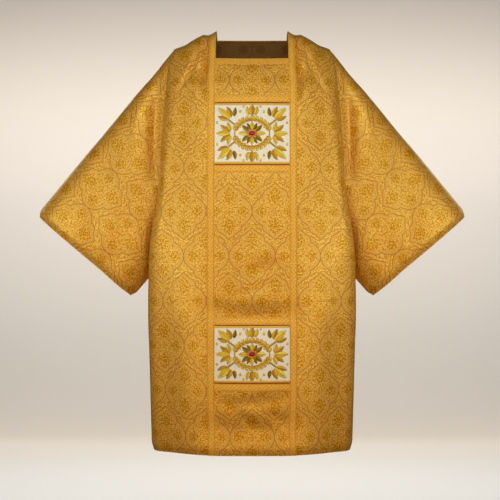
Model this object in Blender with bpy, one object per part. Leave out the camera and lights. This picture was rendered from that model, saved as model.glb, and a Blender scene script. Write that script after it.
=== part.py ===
"""A gold damask dalmatic with braid galloons and two embroidered orphreys, held open as it is worn.

The frame is metres: +X to the wearer's left, -Y to the front and +Z up. The origin is midway between
the shoulders, where the wearer carries the garment. Every cloth piece is a wall between two grids of
points: the outer face, and the same face moved in by the thickness of the cloth.
"""

import math
from collections import namedtuple

import bmesh
import bpy
import numpy as np
from mathutils import Vector

# Cloth
DAMASK_WALL = 0.002
GALLOON_WALL = 0.0012
ORPHREY_WALL = 0.0015
SEAM_GAP = 0.0003

# Body: one row for each level down the figure. Widths are half widths; front, back, crease and edge are
# distances from the plane through both side seams; tuck is how far the edge turns back in behind the crease.
Level = namedtuple("Level", "depth half_width front back crease edge tuck squareness")
BODY = (
    Level(0.000, 0.219, 0.000, 0.000, 0.000, 0.000, 0.000, 2.0),
    Level(0.004, 0.220, 0.026, 0.028, 0.013, 0.012, 0.000, 2.0),
    Level(0.015, 0.222, 0.048, 0.053, 0.025, 0.023, 0.000, 2.0),
    Level(0.028, 0.225, 0.061, 0.068, 0.034, 0.031, 0.000, 2.0),
    Level(0.050, 0.230, 0.073, 0.082, 0.042, 0.038, 0.000, 2.1),
    Level(0.080, 0.235, 0.087, 0.095, 0.048, 0.042, 0.001, 2.2),
    Level(0.150, 0.240, 0.115, 0.114, 0.055, 0.046, 0.003, 2.3),
    Level(0.220, 0.247, 0.129, 0.125, 0.058, 0.047, 0.005, 2.3),
    Level(0.380, 0.256, 0.145, 0.131, 0.062, 0.045, 0.011, 2.3),
    Level(0.460, 0.261, 0.148, 0.131, 0.065, 0.041, 0.015, 2.3),
    Level(0.520, 0.270, 0.151, 0.131, 0.067, 0.035, 0.020, 2.3),
    Level(0.590, 0.276, 0.154, 0.134, 0.068, 0.023, 0.027, 2.2),
    Level(0.634, 0.276, 0.156, 0.137, 0.066, 0.000, 0.030, 2.2),
    Level(0.700, 0.277, 0.160, 0.142, 0.052, 0.000, 0.021, 2.1),
    Level(0.780, 0.279, 0.164, 0.149, 0.025, 0.000, 0.007, 2.1),
    Level(0.860, 0.281, 0.168, 0.154, 0.000, 0.000, 0.000, 2.0),
    Level(1.149, 0.281, 0.186, 0.170, 0.000, 0.000, 0.000, 2.0),
)
HEM = -BODY[-1].depth
UNDERARM = -0.634

# Shoulder line: the height of the seam at each distance from the centre. It blends into level rows below.
Shoulder = namedtuple("Shoulder", "out height")
SHOULDER = (
    Shoulder(0.0990, 0.0265),
    Shoulder(0.1175, 0.0165),
    Shoulder(0.1350, 0.0165),
    Shoulder(0.1460, 0.0120),
    Shoulder(0.1660, 0.0010),
    Shoulder(0.1880, -0.0130),
    Shoulder(0.2110, -0.0210),
    Shoulder(0.2190, -0.0240),
)
SHOULDER_BLEND = 0.16

# Clavi: the distance along the cloth from the centre to each edge, where they hang and on the shoulder.
CLAVUS_INNER = 0.1020
CLAVUS_OUTER = 0.1230
CLAVUS_INNER_ON_SHOULDER = 0.1000
CLAVUS_OUTER_ON_SHOULDER = 0.1175

# Heights of the trims on the front, at the centre.
FRONT_NECKLINE = -0.0625
NECK_BAND_BOTTOM = -0.0810
Orphrey = namedtuple("Orphrey", "name braid_top top bottom braid_bottom")
ORPHREYS = (
    Orphrey("upper", -0.1705, -0.1915, -0.3645, -0.3845),
    Orphrey("lower", -0.7760, -0.7970, -0.9545, -0.9750),
)
# The back neckline and its band, as depths down the shoulder.
BACK_NECKLINE_DEPTH = 0.015
BACK_BAND_DEPTH = 0.028

# Sleeves: the top and bottom ends of the hem, and the shape of its opening.
SLEEVE_HEM_TOP = (0.6085, -0.4936)
SLEEVE_HEM_BOTTOM = (0.3420, -0.7235)
SLEEVE_FULLNESS = 0.047
SLEEVE_TOP_BIAS = 0.45
SLEEVE_SWELL = 0.012

# Stones in the middle of the orphreys.
STONE_WIDTH = 0.0180
STONE_HEIGHT = 0.0120
STONE_RISE = 0.0045
STONE_SEGMENTS = 20

# How finely the walls are divided.
INNER_COLUMNS = 3
OUTER_SHARES = (0.17, 0.34, 0.50, 0.65, 0.77, 0.86, 0.94, 1.0)
SHOULDER_DEPTHS = (0.0, 0.004, BACK_NECKLINE_DEPTH, BACK_BAND_DEPTH, 0.050)
PLAIN_HEIGHTS = (-0.125, -0.450, -0.520, -0.585, -0.700, -1.060)
ORPHREY_PARTS = 3
SLEEVE_SHARES = (0.0, 0.06, 0.16, 0.28, 0.42, 0.56, 0.70, 0.84, 0.94, 1.0)
SECTION_STEPS = 60
TUCK_STEPS = 16
HEM_STEPS = 120

Look = namedtuple("Look", "colour roughness metallic")
LOOKS = {
    "damask": Look((0.60, 0.33, 0.07), 0.50, 0.35),
    "galloon": Look((0.75, 0.43, 0.06), 0.42, 0.45),
    "orphrey": Look((0.78, 0.70, 0.48), 0.40, 0.30),
    "stone": Look((0.45, 0.03, 0.02), 0.12, 0.00),
}


def clear_scene():
    for thing in list(bpy.data.objects):
        bpy.data.objects.remove(thing, do_unlink=True)


def make_materials():
    made = {}
    for name, look in LOOKS.items():
        material = bpy.data.materials.new(name)
        material.use_nodes = True
        shader = material.node_tree.nodes["Principled BSDF"]
        shader.inputs["Base Color"].default_value = (*look.colour, 1.0)
        shader.inputs["Roughness"].default_value = look.roughness
        shader.inputs["Metallic"].default_value = look.metallic
        made[name] = material
    return made


# ---------------------------------------------------------------- curves


def eased(share):
    share = min(max(share, 0.0), 1.0)
    return share * share * (3.0 - 2.0 * share)


def slopes_of(xs, ys):
    """Slopes at the points of a table that keep its curve from overshooting."""
    steps = np.diff(ys) / np.diff(xs)
    slopes = np.zeros(len(xs))
    slopes[0] = steps[0]
    slopes[-1] = steps[-1]
    for i in range(1, len(xs) - 1):
        before, after = steps[i - 1], steps[i]
        if before * after > 0.0:
            slopes[i] = 2.0 * before * after / (before + after)
    return slopes


def read_curve(xs, ys, x):
    """The value at x of the smooth curve through a table."""
    x = min(max(x, xs[0]), xs[-1])
    i = min(int(np.searchsorted(xs, x, side="right")) - 1, len(xs) - 2)
    slopes = slopes_of(xs, ys)
    width = xs[i + 1] - xs[i]
    t = (x - xs[i]) / width
    rise = ys[i + 1] - ys[i]
    start = slopes[i] * width
    end = slopes[i + 1] * width
    return ys[i] + t * start + t * t * (3 * rise - 2 * start - end) + t**3 * (start + end - 2 * rise)


def body_at(depth):
    """The body's sizes at a depth. The curves run over the root of the depth, so that the top is round."""
    roots = np.sqrt([level.depth for level in BODY])
    columns = zip(*BODY)
    return Level(*(read_curve(roots, np.array(column), math.sqrt(depth)) for column in columns))


def shoulder_height(out):
    outs, heights = (np.array(column) for column in zip(*SHOULDER))
    return read_curve(outs, heights, out)


def shoulder_fade(depth):
    return 1.0 - eased(depth / SHOULDER_BLEND)


def depth_of(height):
    """The depth whose row passes the centre at this height."""
    low, high = 0.0, 2.0
    for _ in range(60):
        middle = (low + high) / 2.0
        at = -middle + SHOULDER[0].height * shoulder_fade(middle)
        low, high = (middle, high) if at > height else (low, middle)
    return (low + high) / 2.0


# ---------------------------------------------------------------- body


def section(depth, side):
    """One half of the body's section at a depth, from the centre to the edge, as X and Y."""
    at = body_at(depth)
    reach = at.front if side < 0 else at.back
    power = 2.0 / at.squareness
    angles = np.linspace(0.0, math.pi / 2.0, SECTION_STEPS)
    across = at.half_width * np.sin(angles) ** power
    away = at.crease + (reach - at.crease) * np.abs(np.cos(angles)) ** power
    turn = np.linspace(0.0, 1.0, TUCK_STEPS + 1)[1:]
    tucked = at.half_width - at.tuck * (1.0 - np.cos(math.pi * turn)) / 2.0
    behind = at.crease + (at.edge - at.crease) * turn
    return np.concatenate([across, tucked]), side * np.concatenate([away, behind])


def column_places(depth, length):
    """Distances along the cloth from the centre to each column: clavus edges, then shares of the rest."""
    fade = shoulder_fade(depth)
    inner = CLAVUS_INNER + (CLAVUS_INNER_ON_SHOULDER - CLAVUS_INNER) * fade
    outer = CLAVUS_OUTER + (CLAVUS_OUTER_ON_SHOULDER - CLAVUS_OUTER) * fade
    places = [inner * i / INNER_COLUMNS for i in range(INNER_COLUMNS + 1)]
    places.append(outer)
    places.extend(outer + (length - outer) * share for share in OUTER_SHARES)
    return np.array(places)


def half_row(depth, side):
    """The points of one row of a panel, from the centre to the wearer's left edge."""
    xs, ys = section(depth, side)
    along = np.concatenate([[0.0], np.cumsum(np.hypot(np.diff(xs), np.diff(ys)))])
    places = column_places(depth, along[-1])
    on_shoulder = column_places(0.0, BODY[0].half_width)
    fade = shoulder_fade(depth)
    row = []
    for place, out in zip(places, on_shoulder):
        height = -depth + shoulder_height(out) * fade
        row.append((np.interp(place, along, xs), np.interp(place, along, ys), height))
    return np.array(row)


def row_depths():
    heights = [FRONT_NECKLINE, NECK_BAND_BOTTOM, UNDERARM, HEM, *PLAIN_HEIGHTS]
    for orphrey in ORPHREYS:
        heights += [orphrey.braid_top, orphrey.braid_bottom]
        heights += list(np.linspace(orphrey.top, orphrey.bottom, ORPHREY_PARTS + 1))
    return np.array(list(SHOULDER_DEPTHS) + sorted(depth_of(height) for height in heights))


def panel_points(depths, side):
    """The whole panel, rows down and columns across, from the wearer's right edge to the left."""
    halves = np.array([half_row(depth, side) for depth in depths])
    mirrored = halves[:, :0:-1] * (-1.0, 1.0, 1.0)
    return np.concatenate([mirrored, halves], axis=1)


def unit(vectors):
    return vectors / np.linalg.norm(vectors, axis=-1, keepdims=True)


def normals_of(points):
    """Normals of a grid of points, to the side from which its rows run down and its columns to the left."""
    down = np.gradient(points, axis=0)
    across = np.gradient(points, axis=1)
    return unit(np.cross(across, down))


def panel_normals(points, side):
    """Normals of a panel. Where the front meets the back, at a seam, they lean neither way."""
    normals = normals_of(points) * side
    normals[0, :, 1] = 0.0
    below = points[:, 0, 2] < UNDERARM - SEAM_GAP
    normals[below, 0, 1] = 0.0
    normals[below, -1, 1] = 0.0
    normals[0, :, 2] = np.abs(normals[0, :, 2])
    return unit(normals)


# ---------------------------------------------------------------- sleeves


def arc_shares(points):
    steps = np.linalg.norm(np.diff(points, axis=0), axis=1)
    along = np.concatenate([[0.0], np.cumsum(steps)])
    return along / along[-1]


def hem_opening(shares):
    """Half of the sleeve's hem opening, from its top fold down the front to its bottom fold."""
    top = np.array([SLEEVE_HEM_TOP[0], 0.0, SLEEVE_HEM_TOP[1]])
    bottom = np.array([SLEEVE_HEM_BOTTOM[0], 0.0, SLEEVE_HEM_BOTTOM[1]])
    angles = np.linspace(0.0, math.pi, HEM_STEPS)
    down = ((1.0 - np.cos(angles)) / 2.0)[:, None]
    reach = SLEEVE_FULLNESS * np.sin(angles) * (1.0 + SLEEVE_TOP_BIAS * np.cos(angles))
    outline = top + (bottom - top) * down
    outline[:, 1] -= reach
    at = arc_shares(outline)
    return np.stack([np.interp(shares, at, outline[:, i]) for i in range(3)], axis=1)


def sleeve_points(armhole):
    """The left sleeve from its armhole edge, given down the front, to its hem, as a grid of rings."""
    hem = hem_opening(arc_shares(armhole))
    rise = np.sin(np.pi * np.linspace(0.0, 1.0, len(armhole)))
    rings = []
    for share in SLEEVE_SHARES:
        front = armhole + (hem - armhole) * share
        front[:, 1] -= SLEEVE_SWELL * rise * math.sin(math.pi * share)
        back = front[-2:0:-1] * (1.0, -1.0, 1.0)
        rings.append(np.concatenate([front, back]))
    return np.array(rings)


def sleeve_normals(rings):
    wrapped = np.concatenate([rings[:, -1:], rings, rings[:, :1]], axis=1)
    return normals_of(wrapped)[:, 1:-1]


# ---------------------------------------------------------------- solids


def wall_object(name, outer, inner, material, ring=False, open_cells=None):
    """A closed wall between two grids. A ring joins its last column to its first.

    Every cell of a flat grid is split along the diagonal that runs down and away from the centre of the
    garment, so that a trim's facets lie over the facets of the panel below it. The cut edges are split from
    the higher outer point to the lower inner one, so that two pieces stay parallel along a seam.
    """
    rows, columns = outer.shape[:2]
    mesh = bmesh.new()
    faces_of = []
    for grid in (outer, inner):
        faces_of.append([[mesh.verts.new(point) for point in row] for row in grid])
    boundary = {}
    for i in range(rows - 1):
        for j in range(columns if ring else columns - 1):
            if open_cells is not None and open_cells[i, j]:
                continue
            k = (j + 1) % columns
            corners = [(i, j), (i, k), (i + 1, k), (i + 1, j)]
            on_right = outer[i, j, 0] + outer[i, k, 0] < 0.0
            climbs = outer[i + 1, j, 2] > outer[i, j, 2]
            if not ring and on_right != climbs:
                corners = corners[1:] + corners[:1]
            for verts in faces_of:
                a, b, c, d = (verts[p][q] for p, q in corners)
                mesh.faces.new((a, b, c))
                mesh.faces.new((a, c, d))
            for start, end in zip(corners, corners[1:] + corners[:1]):
                if (end, start) in boundary:
                    del boundary[(end, start)]
                else:
                    boundary[(start, end)] = True
    for start, end in boundary:
        high, low = (start, end) if outer[start][2] > outer[end][2] else (end, start)
        (high_out, low_out), (high_in, low_in) = ([verts[p][q] for p, q in (high, low)] for verts in faces_of)
        mesh.faces.new((high_out, low_out, low_in))
        mesh.faces.new((high_out, low_in, high_in))
    loose = [vert for vert in mesh.verts if not vert.link_faces]
    bmesh.ops.delete(mesh, geom=loose, context="VERTS")
    bmesh.ops.recalc_face_normals(mesh, faces=mesh.faces)
    return finish_object(name, mesh, material)


def finish_object(name, mesh, material):
    data = bpy.data.meshes.new(name)
    mesh.to_mesh(data)
    mesh.free()
    data.materials.append(material)
    data.shade_smooth()
    data.set_sharp_from_angle(angle=math.radians(50.0))
    thing = bpy.data.objects.new(name, data)
    bpy.context.scene.collection.objects.link(thing)
    return thing


def pulled_in(points, gap):
    """A grid whose outer rows and columns are moved in along its own lines."""
    points = points.copy()
    for axis in (0, 1):
        grid = points if axis == 0 else points.swapaxes(0, 1)
        grid[0] += unit(grid[1] - grid[0]) * gap
        grid[-1] += unit(grid[-2] - grid[-1]) * gap
    return points


def trim_object(name, points, normals, thickness, material):
    """Braid or embroidery that lies on a panel: the panel's own points, moved out."""
    points = pulled_in(points, SEAM_GAP / 2.0)
    under = points + normals * SEAM_GAP
    over = points + normals * (SEAM_GAP + thickness)
    return wall_object(name, over, under, material)


def stone_object(name, centre, normal, material):
    mesh = bmesh.new()
    bmesh.ops.create_uvsphere(mesh, u_segments=STONE_SEGMENTS, v_segments=STONE_SEGMENTS // 2, radius=1.0)
    bmesh.ops.scale(mesh, vec=(STONE_WIDTH / 2.0, STONE_HEIGHT / 2.0, STONE_RISE), verts=mesh.verts)
    everything = list(mesh.verts) + list(mesh.edges) + list(mesh.faces)
    bmesh.ops.bisect_plane(mesh, geom=everything, plane_co=(0, 0, 0), plane_no=(0, 0, 1), clear_inner=True)
    rim = [edge for edge in mesh.edges if edge.is_boundary]
    bmesh.ops.contextual_create(mesh, geom=rim)
    bmesh.ops.recalc_face_normals(mesh, faces=mesh.faces)
    stone = finish_object(name, mesh, material)
    stone.location = centre
    stone.rotation_euler = Vector(normal).to_track_quat("Z", "Y").to_euler()
    return stone


# ---------------------------------------------------------------- garment


class Panel:
    """The front or the back: its points, its normals and where its trims lie."""

    def __init__(self, depths, side):
        self.depths = depths
        self.points = panel_points(depths, side)
        self.normals = panel_normals(self.points, side)
        self.centre = self.points.shape[1] // 2

    def row(self, depth):
        return int(np.argmin(np.abs(self.depths - depth)))

    def clavus_columns(self, hand):
        inner = self.centre + hand * INNER_COLUMNS
        outer = inner + hand
        return slice(min(inner, outer), max(inner, outer) + 1)

    def between_clavi(self):
        return slice(self.centre - INNER_COLUMNS, self.centre + INNER_COLUMNS + 1)

    def part(self, rows, columns):
        return self.points[rows, columns], self.normals[rows, columns]

    def band(self, top_depth, bottom_depth):
        """The points of a trim that runs across from one clavus to the other."""
        return self.part(slice(self.row(top_depth), self.row(bottom_depth) + 1), self.between_clavi())


def seamed(points, side):
    """A panel's points drawn back from the shoulder and side seams by half the gap between pieces."""
    points = points.copy()
    points[0, :, 1] += side * SEAM_GAP / 2.0
    below = points[:, 0, 2] < UNDERARM + SEAM_GAP
    points[below, 0, 1] += side * SEAM_GAP / 2.0
    points[below, -1, 1] += side * SEAM_GAP / 2.0
    return points


def mitre(normals, armhole_rows, sleeve_normals_at_edge):
    """Gives a panel's armhole edges the normals that halve the corner with the sleeve."""
    for row in range(armhole_rows):
        for column, hand in ((0, -1.0), (-1, 1.0)):
            partner = sleeve_normals_at_edge[row] * (hand, 1.0, 1.0)
            normals[row, column] = normals[row, column] + partner
            normals[row, column] /= np.linalg.norm(normals[row, column])


def make_panel(name, panel, side, neckline_depth, sleeve_edge, material):
    outer = seamed(panel.points, side)
    normals = panel.normals.copy()
    mitre(normals, len(sleeve_edge), sleeve_edge)
    inner = outer - normals * DAMASK_WALL
    open_cells = np.zeros((outer.shape[0] - 1, outer.shape[1] - 1), dtype=bool)
    across = panel.between_clavi()
    open_cells[: panel.row(neckline_depth), across.start : across.stop - 1] = True
    return wall_object(name, outer, inner, material, open_cells=open_cells)


def make_sleeve(name, rings, normals, edge_normals, hand, material):
    normals = normals.copy()
    front_count = len(edge_normals)
    shared = unit(normals[0, :front_count] + edge_normals)
    normals[0, :front_count] = shared
    normals[0, front_count:] = shared[-2:0:-1] * (1.0, -1.0, 1.0)
    seam = np.roll(rings[0], -1, axis=0) - np.roll(rings[0], 1, axis=0)
    away = unit(np.cross(normals[0], seam))
    outer = rings.copy()
    outer[0] += away * SEAM_GAP
    inner = outer - normals * DAMASK_WALL
    mirror = np.array([hand, 1.0, 1.0])
    return wall_object(name, outer * mirror, inner * mirror, material, ring=True)


def make_clavus(name, front, back, hand, material):
    """One galloon from the front hem over the shoulder to the back hem."""
    columns = front.clavus_columns(hand)
    points = np.concatenate([front.points[::-1, columns], back.points[1:, columns]])
    normals = np.concatenate([front.normals[::-1, columns], back.normals[1:, columns]])
    return trim_object(name, points, normals, GALLOON_WALL, material)


def make_orphrey(orphrey, front, materials):
    """The embroidered panel, the galloons above and below it, and its stone."""
    braids = (("top", orphrey.braid_top, orphrey.top), ("bottom", orphrey.bottom, orphrey.braid_bottom))
    for place, top, bottom in braids:
        points, normals = front.band(depth_of(top), depth_of(bottom))
        name = f"galloon_{orphrey.name}_{place}"
        trim_object(name, points, normals, GALLOON_WALL, materials["galloon"])
    points, normals = front.band(depth_of(orphrey.top), depth_of(orphrey.bottom))
    trim_object(f"orphrey_{orphrey.name}", points, normals, ORPHREY_WALL, materials["orphrey"])
    above = (ORPHREY_PARTS - 1) // 2
    middle = (points[above, INNER_COLUMNS] + points[-1 - above, INNER_COLUMNS]) / 2.0
    normal = unit(normals[above, INNER_COLUMNS] + normals[-1 - above, INNER_COLUMNS])
    centre = middle + normal * (SEAM_GAP + ORPHREY_WALL + SEAM_GAP)
    stone_object(f"stone_{orphrey.name}", centre, normal, materials["stone"])


def build_dalmatic():
    clear_scene()
    materials = make_materials()
    depths = row_depths()
    front = Panel(depths, -1)
    back = Panel(depths, 1)
    armhole_rows = int(np.argmin(np.abs(depths - depth_of(UNDERARM)))) + 1
    armhole = front.points[:armhole_rows, -1]
    rings = sleeve_points(armhole)
    normals = sleeve_normals(rings)
    front_edge = normals[0, :armhole_rows]
    back_edge = front_edge * (1.0, -1.0, 1.0)
    damask, galloon = materials["damask"], materials["galloon"]
    make_panel("front", front, -1, depth_of(FRONT_NECKLINE), front_edge, damask)
    make_panel("back", back, 1, BACK_NECKLINE_DEPTH, back_edge, damask)
    panel_edge = front.normals[:armhole_rows, -1]
    for name, hand in (("left", 1), ("right", -1)):
        make_sleeve(f"sleeve_{name}", rings, normals, panel_edge, hand, damask)
        make_clavus(f"clavus_{name}", front, back, hand, galloon)
    neck_front = front.band(depth_of(FRONT_NECKLINE), depth_of(NECK_BAND_BOTTOM))
    trim_object("neck_band_front", *neck_front, GALLOON_WALL, galloon)
    neck_back = back.band(BACK_NECKLINE_DEPTH, BACK_BAND_DEPTH)
    trim_object("neck_band_back", *neck_back, GALLOON_WALL, galloon)
    for orphrey in ORPHREYS:
        make_orphrey(orphrey, front, materials)


build_dalmatic()
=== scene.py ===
"""The looks of a gold damask dalmatic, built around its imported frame. Metres, +Z up, the front faces -Y."""

import math
from collections import namedtuple
from functools import partialmethod, reduce

import bmesh
import bpy
import numpy as np
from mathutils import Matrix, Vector


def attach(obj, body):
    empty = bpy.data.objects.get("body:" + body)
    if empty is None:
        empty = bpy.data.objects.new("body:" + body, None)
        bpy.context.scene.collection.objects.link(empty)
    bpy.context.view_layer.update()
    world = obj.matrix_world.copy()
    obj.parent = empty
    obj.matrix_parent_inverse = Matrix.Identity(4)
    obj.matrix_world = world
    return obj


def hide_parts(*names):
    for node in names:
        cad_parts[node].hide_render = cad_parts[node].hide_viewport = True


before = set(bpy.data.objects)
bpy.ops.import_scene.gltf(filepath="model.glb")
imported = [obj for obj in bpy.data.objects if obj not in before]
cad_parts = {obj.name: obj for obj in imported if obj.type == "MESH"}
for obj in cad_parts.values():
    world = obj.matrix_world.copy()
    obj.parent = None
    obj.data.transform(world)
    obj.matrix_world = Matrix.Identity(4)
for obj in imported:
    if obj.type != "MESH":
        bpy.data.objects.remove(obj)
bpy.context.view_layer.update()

BODY_NAME = "root"
MM = 0.001
TURN = 2.0 * math.pi

# ======== the garment's form, as its frame has it

# The body's sections, in millimetres, and how square each one is.
Level = namedtuple("Level", "depth half_width front back crease edge tuck squareness")
SECTIONS = (
    (0, 219, 0, 0, 0, 0, 0, 2.0),
    (4, 220, 26, 28, 13, 12, 0, 2.0),
    (15, 222, 48, 53, 25, 23, 0, 2.0),
    (28, 225, 61, 68, 34, 31, 0, 2.0),
    (50, 230, 73, 82, 42, 38, 0, 2.1),
    (80, 235, 87, 95, 48, 42, 1, 2.2),
    (150, 240, 115, 114, 55, 46, 3, 2.3),
    (220, 247, 129, 125, 58, 47, 5, 2.3),
    (380, 256, 145, 131, 62, 45, 11, 2.3),
    (460, 261, 148, 131, 65, 41, 15, 2.3),
    (520, 270, 151, 131, 67, 35, 20, 2.3),
    (590, 276, 154, 134, 68, 23, 27, 2.2),
    (634, 276, 156, 137, 66, 0, 30, 2.2),
    (700, 277, 160, 142, 60, 0, 24, 2.2),
    (780, 279, 164, 149, 48, 0, 15, 2.2),
    (860, 280, 168, 154, 34, 0, 8, 2.1),
    (1149, 281, 186, 170, 0, 0, 0, 2.0),
)
BODY = [Level(*(size * MM for size in sizes), squareness) for *sizes, squareness in SECTIONS]
HEM_DEPTH = BODY[-1].depth
UNDERARM = -0.634
# The shoulder seam: how far out, and how high.
SHOULDER = (
    (0.0990, 0.0265), (0.1175, 0.0165), (0.1350, 0.0165), (0.1460, 0.0120),
    (0.1660, 0.0010), (0.1880, -0.0130), (0.2110, -0.0210), (0.2190, -0.0240),
)
SHOULDER_TOP = SHOULDER[0][1]
SHOULDER_BLEND = 0.16
CLAVUS_INNER = 0.1020
CLAVUS_OUTER = 0.1230
CLAVUS_INNER_ON_SHOULDER = 0.1000
CLAVUS_OUTER_ON_SHOULDER = 0.1175
FRONT_NECKLINE = -0.0625
NECK_BAND_BOTTOM = -0.0810
Orphrey = namedtuple("Orphrey", "name braid_top top bottom braid_bottom")
ORPHREYS = (
    Orphrey("upper", -0.1705, -0.1915, -0.3645, -0.3845),
    Orphrey("lower", -0.7760, -0.7970, -0.9545, -0.9750),
)
BACK_NECKLINE_DEPTH = 0.015
BACK_BAND_DEPTH = 0.028
SLEEVE_HEM_TOP = np.array([0.6085, 0.0, -0.4936])
SLEEVE_HEM_BOTTOM = np.array([0.3420, 0.0, -0.7235])
SLEEVE_FULLNESS = 0.047
SLEEVE_TOP_BIAS = 0.45
SLEEVE_SWELL = 0.012

# ---- how finely the cloth is divided, and its thickness
CLOTH = 0.0018
SEAM_GAP = 0.0003
STEP = 0.0065
PANEL_EDGE = CLAVUS_OUTER + 0.250  # as the column coordinate counts it
COLUMN_MARKS = (0.0, CLAVUS_INNER, CLAVUS_OUTER, PANEL_EDGE)
HEM_STITCH_DEPTH = HEM_DEPTH - 0.0275
SECTION_STEPS = 160
TUCK_STEPS = 40


def eased(t):
    t = np.clip(t, 0.0, 1.0)
    return t * t * (3.0 - 2.0 * t)


def unit(vectors):
    return vectors / np.maximum(np.linalg.norm(vectors, axis=-1, keepdims=True), 1e-12)


def run_along(points):
    """How far along a line of points each one is."""
    return np.concatenate([[0.0], np.cumsum(np.linalg.norm(np.diff(points, axis=0), axis=1))])


class Curve:
    """The smooth curve through a table, which never overshoots it."""

    def __init__(self, xs, ys):
        self.xs = np.array(xs, float)
        self.ys = np.array(ys, float)
        steps = np.diff(self.ys) / np.diff(self.xs)
        self.slopes = np.concatenate([steps[:1], np.zeros(len(steps) - 1), steps[-1:]])
        for i in range(1, len(steps)):
            before, after = steps[i - 1], steps[i]
            if before * after > 0.0:
                self.slopes[i] = 2.0 * before * after / (before + after)

    def __call__(self, x):
        x = np.clip(x, self.xs[0], self.xs[-1])
        i = np.clip(np.searchsorted(self.xs, x, side="right") - 1, 0, len(self.xs) - 2)
        width = self.xs[i + 1] - self.xs[i]
        t = (x - self.xs[i]) / width
        rise = self.ys[i + 1] - self.ys[i]
        start, end = self.slopes[i] * width, self.slopes[i + 1] * width
        bend = t * t * (3 * rise - 2 * start - end) + t**3 * (start + end - 2 * rise)
        return self.ys[i] + t * start + bend


ROOTS = np.sqrt([level.depth for level in BODY])
BODY_CURVES = [Curve(ROOTS, column) for column in zip(*BODY)]
SHOULDER_CURVE = Curve(*zip(*SHOULDER))


def body_at(depth):
    return Level(*(curve(math.sqrt(depth)) for curve in BODY_CURVES))


def shoulder_fade(depth):
    return 1.0 - eased(depth / SHOULDER_BLEND)


def depth_of(height):
    """The depth whose row passes the centre at this height."""
    low, high = 0.0, 2.0
    for _ in range(60):
        middle = (low + high) / 2.0
        above = -middle + SHOULDER_TOP * shoulder_fade(middle) > height
        low, high = (middle, high) if above else (low, middle)
    return (low + high) / 2.0


def section(depth, side):
    """Half of the body's section at a depth, from the centre to the edge, as X and Y."""
    at = body_at(depth)
    reach = at.front if side < 0 else at.back
    power = 2.0 / at.squareness
    angles = np.linspace(0.0, math.pi / 2.0, SECTION_STEPS)
    across = at.half_width * np.sin(angles) ** power
    away = at.crease + (reach - at.crease) * np.abs(np.cos(angles)) ** power
    turn = np.linspace(0.0, 1.0, TUCK_STEPS + 1)[1:]
    tucked = at.half_width - at.tuck * (1.0 - np.cos(math.pi * turn)) / 2.0
    behind = at.crease + (at.edge - at.crease) * turn
    return np.concatenate([across, tucked]), side * np.concatenate([away, behind])


def places(columns, depth, length):
    """Distances along the cloth of the column coordinates: the clavus edges are fixed, the rest shares."""
    fade = shoulder_fade(depth)
    inner = CLAVUS_INNER + (CLAVUS_INNER_ON_SHOULDER - CLAVUS_INNER) * fade
    outer = CLAVUS_OUTER + (CLAVUS_OUTER_ON_SHOULDER - CLAVUS_OUTER) * fade
    return np.interp(columns, COLUMN_MARKS, (0.0, inner, outer, length))


def body_row(columns, depth, side):
    """The points of one row for column coordinates from 0 outwards, and how far along it they are."""
    xs, ys = section(depth, side)
    along = run_along(np.stack([xs, ys], axis=1))
    at = places(columns, depth, along[-1])
    on_shoulder = places(columns, 0.0, BODY[0].half_width)
    heights = -depth + SHOULDER_CURVE(on_shoulder) * shoulder_fade(depth)
    return np.stack([np.interp(at, along, xs), np.interp(at, along, ys), heights], axis=1), at


def normals_of(points):
    """Normals of a grid of points, to the side from which its rows run down and its columns to the left."""
    down = np.gradient(points, axis=0)
    across = np.gradient(points, axis=1)
    return unit(np.cross(across, down))


def spaced(marks, step):
    """Numbers that pass through every mark, about a step apart."""
    runs = []
    for a, b in zip(marks, marks[1:]):
        runs.append(np.linspace(a, b, max(1, round((b - a) / step)), endpoint=False))
    return np.concatenate([*runs, marks[-1:]])


# ======== folds


def fold_height(folds, u, v):
    """How far soft folds lift the cloth at flat coordinates u and v. Each fades out at both ends."""
    total = np.zeros_like(u)
    for rise, width, *path in folds:
        path = np.array(path) * MM
        starts = run_along(path)
        nearest = np.full(u.shape, np.inf)
        share = np.zeros(u.shape)
        for i, step in enumerate(np.diff(starts)):
            along = (path[i + 1] - path[i]) / step
            t = np.clip((u - path[i][0]) * along[0] + (v - path[i][1]) * along[1], 0.0, step)
            away = np.hypot(u - path[i][0] - along[0] * t, v - path[i][1] - along[1] * t)
            closer = away < nearest
            nearest = np.where(closer, away, nearest)
            share = np.where(closer, (starts[i] + t) / starts[-1], share)
        taper = np.sin(math.pi * np.clip(share, 0.02, 0.98)) ** 0.7
        total += rise * MM * taper * np.exp(-((nearest / (width * MM)) ** 2))
    return total


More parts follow.
